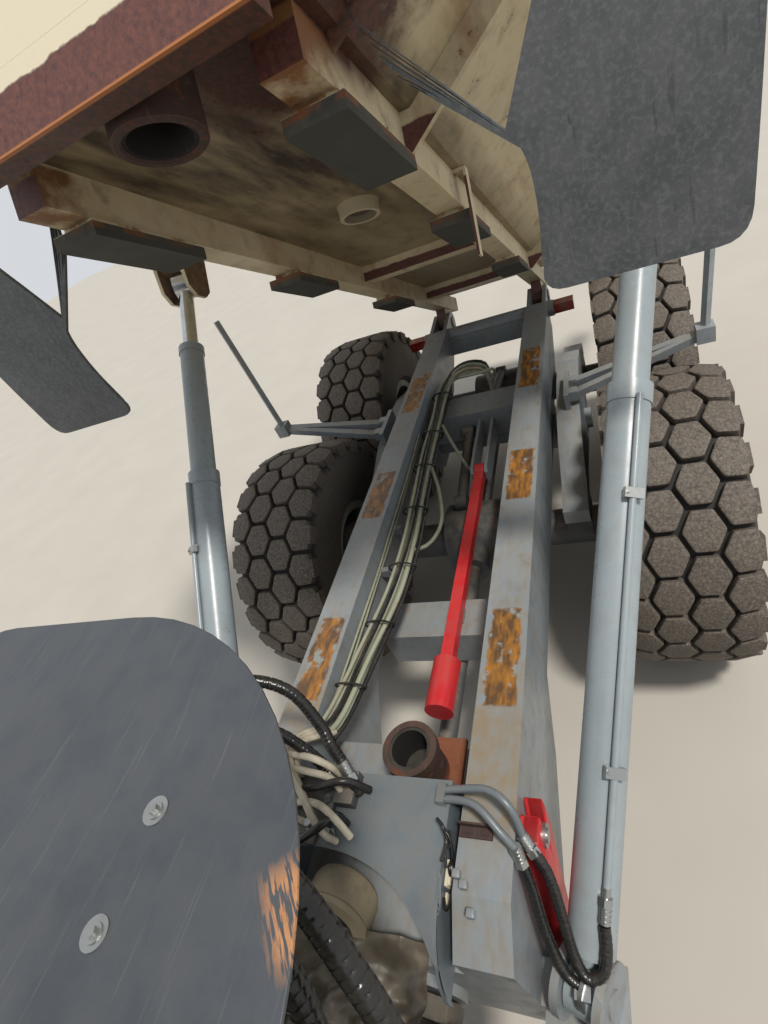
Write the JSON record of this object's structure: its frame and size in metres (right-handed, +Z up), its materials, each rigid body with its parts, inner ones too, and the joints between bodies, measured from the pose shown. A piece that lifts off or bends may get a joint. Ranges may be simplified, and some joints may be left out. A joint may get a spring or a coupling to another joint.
{
  "type": "articulated dump truck",
  "caption": "Three-axle articulated dump truck with its bed raised on two hoist cylinders and a hinged, oscillating hitch behind the cab.",
  "frame": {"origin": "on the ground, in the middle of the truck's length and width as it stands with the bed raised", "axes": "+X forward, +Y to the truck's left, +Z up"},
  "size_m": [10.54, 3.0038, 4.6584],
  "materials": {
    "frame_paint": "satin, worn and dusty",
    "dark_paint": "matte, dusty",
    "bed_paint": "matte, scratched and rusty",
    "cab_paint": "satin, faded",
    "valve_cover_paint": "satin, dusty",
    "plate_paint": "satin, scraped",
    "hoist_paint": "satin",
    "red_paint": "satin, faded",
    "rusty_steel": "rusty",
    "rim_paint": "matte, dusty",
    "cast_hitch": "rough",
    "engine_iron": "rough",
    "chrome_rod": "polished",
    "lug_tyre": "dusty",
    "flap_rubber": "matte",
    "hose_rubber": "matte",
    "lamp_red": "glossy",
    "lamp_clear": "glossy",
    "trim_black": "matte",
    "tinted_glass": "clear"
  },
  "bodies": {
    "rear_frame": {"rear_frame": "frame_paint", "rear_axles": "dark_paint", "rear_driveline": "dark_paint", "balance_beams": "frame_paint", "mudguard_arms": "frame_paint", "exhaust_outlet": "rusty_steel", "valve_cover": "valve_cover_paint", "rail_hoses": "hose_rubber", "steering_lock_bar": "red_paint", "tail_lamps": "lamp_red"},
    "bed": {"bed_tub": "bed_paint", "bed_beams": "bed_paint", "bed_pads": "flap_rubber", "bed_flaps": "flap_rubber"},
    "body_prop": {"body_prop": "red_paint"},
    "hitch": {"hitch_yoke": "cast_hitch"},
    "front_frame": {"front_frame": "frame_paint", "front_axle": "dark_paint", "engine": "engine_iron", "cab_shell": "cab_paint", "cab_glass": "tinted_glass", "cab_interior": "trim_black", "fenders": "dark_paint", "steps_and_rails": "dark_paint", "side_tanks": "dark_paint", "bumper": "dark_paint", "head_lamps": "lamp_clear", "mirrors": "trim_black", "cover_plate": "plate_paint"},
    "cab_door": {"cab_door": "cab_paint", "door_glass": "tinted_glass"},
    "hood": {"hood": "cab_paint", "grille": "trim_black"},
    "hoist_barrel_left": {"hoist_barrel_left": "hoist_paint"},
    "hoist_stage_left": {"hoist_stage_left": "hoist_paint"},
    "hoist_rod_left": {"hoist_rod_left": "chrome_rod"},
    "steering_barrel_left": {"steering_barrel_left": "dark_paint"},
    "steering_rod_left": {"steering_rod_left": "chrome_rod"},
    "wheel_front_left": {"tyre_front_left": "lug_tyre", "rim_front_left": "rim_paint"},
    "wheel_mid_left": {"tyre_mid_left": "lug_tyre", "rim_mid_left": "rim_paint"},
    "wheel_rear_left": {"tyre_rear_left": "lug_tyre", "rim_rear_left": "rim_paint"},
    "hoist_barrel_right": {"hoist_barrel_right": "hoist_paint"},
    "hoist_stage_right": {"hoist_stage_right": "hoist_paint"},
    "hoist_rod_right": {"hoist_rod_right": "chrome_rod"},
    "steering_barrel_right": {"steering_barrel_right": "dark_paint"},
    "steering_rod_right": {"steering_rod_right": "chrome_rod"},
    "wheel_front_right": {"tyre_front_right": "lug_tyre", "rim_front_right": "rim_paint"},
    "wheel_mid_right": {"tyre_mid_right": "lug_tyre", "rim_mid_right": "rim_paint"},
    "wheel_rear_right": {"tyre_rear_right": "lug_tyre", "rim_rear_right": "rim_paint"}
  },
  "joints": [
    {"name": "bed_tip", "type": "hinge", "parent": "rear_frame", "child": "bed", "pos_m": [-3.59997, 0, 1.4], "axis": [0, -1, 0], "range_deg": [-28, 37], "deforming": ["bed_flaps"]},
    {"name": "body_prop_swing", "type": "hinge", "parent": "rear_frame", "child": "body_prop", "pos_m": [-1.64997, 0.07, 1.17], "axis": [0, -1, 0], "range_deg": [0, 78]},
    {"name": "hitch_oscillation", "type": "hinge", "parent": "rear_frame", "child": "hitch", "pos_m": [0.87003, 0, 0.95], "axis": [1, 0, 0], "range_deg": [-20, 20]},
    {"name": "articulation", "type": "hinge", "parent": "hitch", "child": "front_frame", "pos_m": [1.42003, 0, 0.95], "axis": [0, 0, 1], "range_deg": [-45, 45]},
    {"name": "door_swing", "type": "hinge", "parent": "front_frame", "child": "cab_door", "pos_m": [3.20003, 0.742, 2.5], "axis": [0, 0, -1], "range_deg": [0, 70]},
    {"name": "hood_tilt", "type": "hinge", "parent": "front_frame", "child": "hood", "pos_m": [5.09003, 0, 1.33], "axis": [0, 1, 0], "range_deg": [0, 65]},
    {"name": "hoist_swing_left", "type": "hinge", "parent": "rear_frame", "child": "hoist_barrel_left", "pos_m": [0.81003, 0.64, 1.05], "axis": [0.2963, 0.9479, 0.117], "range_deg": [-17.59, 23.19]},
    {"name": "hoist_stage_slide_left", "type": "slide", "parent": "hoist_barrel_left", "child": "hoist_stage_left", "axis": [-0.8005, 0.1797, 0.5718], "range_m": [-0.661, 0.8731]},
    {"name": "hoist_rod_slide_left", "type": "slide", "parent": "hoist_stage_left", "child": "hoist_rod_left", "axis": [-0.8005, 0.1797, 0.5718], "range_m": [-0.2027, 0.2676]},
    {"name": "steering_swing_left", "type": "hinge", "parent": "hitch", "child": "steering_barrel_left", "pos_m": [1.12003, 0.48, 1.06], "axis": [0, 0, 1], "range_deg": [-39, 39]},
    {"name": "steering_slide_left", "type": "slide", "parent": "steering_barrel_left", "child": "steering_rod_left", "axis": [0.9966, 0.0825, 0], "range_m": [-0.372, 0.372]},
    {"name": "wheel_front_left_spin", "type": "hinge", "parent": "front_frame", "child": "wheel_front_left", "pos_m": [2.75003, 1.12, 0.81], "axis": [0, 1, 0], "continuous": true},
    {"name": "wheel_mid_left_spin", "type": "hinge", "parent": "rear_frame", "child": "wheel_mid_left", "pos_m": [-1.42997, 1.12, 0.81], "axis": [0, 1, 0], "continuous": true},
    {"name": "wheel_rear_left_spin", "type": "hinge", "parent": "rear_frame", "child": "wheel_rear_left", "pos_m": [-3.12997, 1.12, 0.81], "axis": [0, 1, 0], "continuous": true},
    {"name": "hoist_swing_right", "type": "hinge", "parent": "rear_frame", "child": "hoist_barrel_right", "pos_m": [0.81003, -0.64, 1.05], "axis": [-0.2963, 0.9479, -0.117], "range_deg": [-17.59, 23.19]},
    {"name": "hoist_stage_slide_right", "type": "slide", "parent": "hoist_barrel_right", "child": "hoist_stage_right", "axis": [-0.8005, -0.1797, 0.5718], "range_m": [-0.661, 0.8731]},
    {"name": "hoist_rod_slide_right", "type": "slide", "parent": "hoist_stage_right", "child": "hoist_rod_right", "axis": [-0.8005, -0.1797, 0.5718], "range_m": [-0.2027, 0.2676]},
    {"name": "steering_swing_right", "type": "hinge", "parent": "hitch", "child": "steering_barrel_right", "pos_m": [1.12003, -0.48, 1.06], "axis": [0, 0, 1], "range_deg": [-39, 39]},
    {"name": "steering_slide_right", "type": "slide", "parent": "steering_barrel_right", "child": "steering_rod_right", "axis": [0.9966, -0.0825, 0], "range_m": [-0.372, 0.372]},
    {"name": "wheel_front_right_spin", "type": "hinge", "parent": "front_frame", "child": "wheel_front_right", "pos_m": [2.75003, -1.12, 0.81], "axis": [0, 1, 0], "continuous": true},
    {"name": "wheel_mid_right_spin", "type": "hinge", "parent": "rear_frame", "child": "wheel_mid_right", "pos_m": [-1.42997, -1.12, 0.81], "axis": [0, 1, 0], "continuous": true},
    {"name": "wheel_rear_right_spin", "type": "hinge", "parent": "rear_frame", "child": "wheel_rear_right", "pos_m": [-3.12997, -1.12, 0.81], "axis": [0, 1, 0], "continuous": true}
  ],
  "couplings": [
    {"joint": "hoist_swing_left", "follows": "bed_tip", "ratio": 0.62125},
    {"joint": "hoist_stage_slide_left", "follows": "bed_tip", "m_per_rad": 1.3505},
    {"joint": "hoist_rod_slide_left", "follows": "bed_tip", "m_per_rad": 0.41281},
    {"joint": "steering_swing_left", "follows": "articulation", "ratio": 0.858},
    {"joint": "steering_slide_left", "follows": "articulation", "m_per_rad": -0.4724},
    {"joint": "hoist_swing_right", "follows": "bed_tip", "ratio": 0.62125},
    {"joint": "hoist_stage_slide_right", "follows": "bed_tip", "m_per_rad": 1.3505},
    {"joint": "hoist_rod_slide_right", "follows": "bed_tip", "m_per_rad": 0.41281},
    {"joint": "steering_swing_right", "follows": "articulation", "ratio": 0.858},
    {"joint": "steering_slide_right", "follows": "articulation", "m_per_rad": 0.4724}
  ]
}
